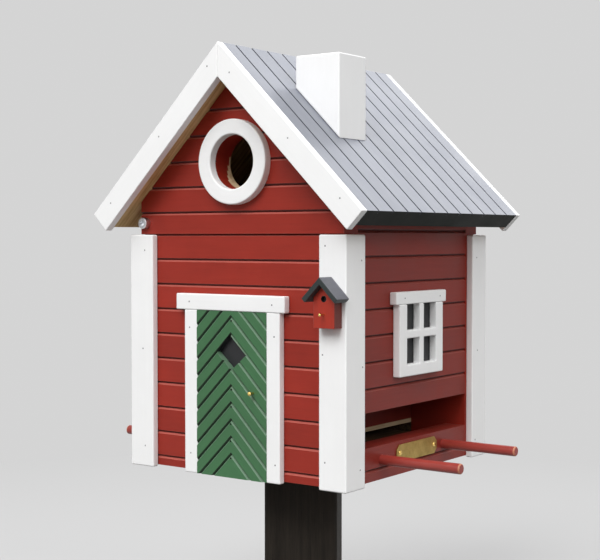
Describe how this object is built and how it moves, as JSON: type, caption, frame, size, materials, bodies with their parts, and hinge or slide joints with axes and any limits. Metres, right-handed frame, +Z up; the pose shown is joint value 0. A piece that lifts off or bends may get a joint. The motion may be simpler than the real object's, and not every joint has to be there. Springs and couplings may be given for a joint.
{
  "type": "wooden birdhouse on a post",
  "caption": "Wooden nest box and feeder shaped as a small grooved-board cottage on a square post, with a roof that swings open at its left eave.",
  "frame": {"origin": "centre of the post's flat foot", "axes": "+Z up along the post, -Y towards the door, +X towards the wall with the plate"},
  "size_m": [0.252, 0.1863, 0.3718],
  "materials": {
    "red_paint": "dark red satin paint on grooved pine",
    "white_paint": "white satin paint on planed pine",
    "green_paint": "green satin paint on grooved pine",
    "grey_paint": "mid grey satin paint on grooved pine",
    "bare_pine": "unpainted planed pine",
    "dark_post": "dark brown stained planed timber",
    "black_paint": "black satin paint",
    "bright_red_paint": "bright red satin paint",
    "brass": "brushed and slightly tarnished",
    "zinc_steel": "bright zinc plate"
  },
  "bodies": {
    "house": {"post": "dark_post", "floor": "bare_pine", "front_wall": "red_paint", "back_wall": "red_paint", "left_wall": "red_paint", "right_wall": "red_paint", "left_tray_board": "red_paint", "right_tray_board": "red_paint", "left_inner_panel": "red_paint", "right_inner_panel": "red_paint", "front_left_corner_board": "white_paint", "front_right_corner_board": "white_paint", "back_left_corner_board": "white_paint", "back_right_corner_board": "white_paint", "entrance_ring": "white_paint", "door_panel": "green_paint", "door_left_jamb": "white_paint", "door_right_jamb": "white_paint", "door_lintel": "white_paint", "door_pull": "brass", "left_window_frame": "white_paint", "right_window_frame": "white_paint", "left_window_lintel": "white_paint", "right_window_lintel": "white_paint", "left_front_perch": "red_paint", "left_back_perch": "red_paint", "right_front_perch": "red_paint", "right_back_perch": "red_paint", "blank_plate": "brass", "toy_box_body": "bright_red_paint", "toy_box_roof": "black_paint", "toy_box_perch": "brass"},
    "roof": {"left_roof_board": "grey_paint", "right_roof_board": "grey_paint", "front_left_bargeboard": "white_paint", "front_right_bargeboard": "white_paint", "back_left_bargeboard": "white_paint", "back_right_bargeboard": "white_paint", "chimney": "white_paint", "hinge_batten": "red_paint", "front_hinge_bolt": "zinc_steel", "back_hinge_bolt": "zinc_steel"}
  },
  "joints": [
    {"name": "roof_hinge", "type": "hinge", "parent": "house", "child": "roof", "pos_m": [-0.0713, 0, 0.2686], "axis": [0, -1, 0], "range_deg": [0, 34]}
  ]
}
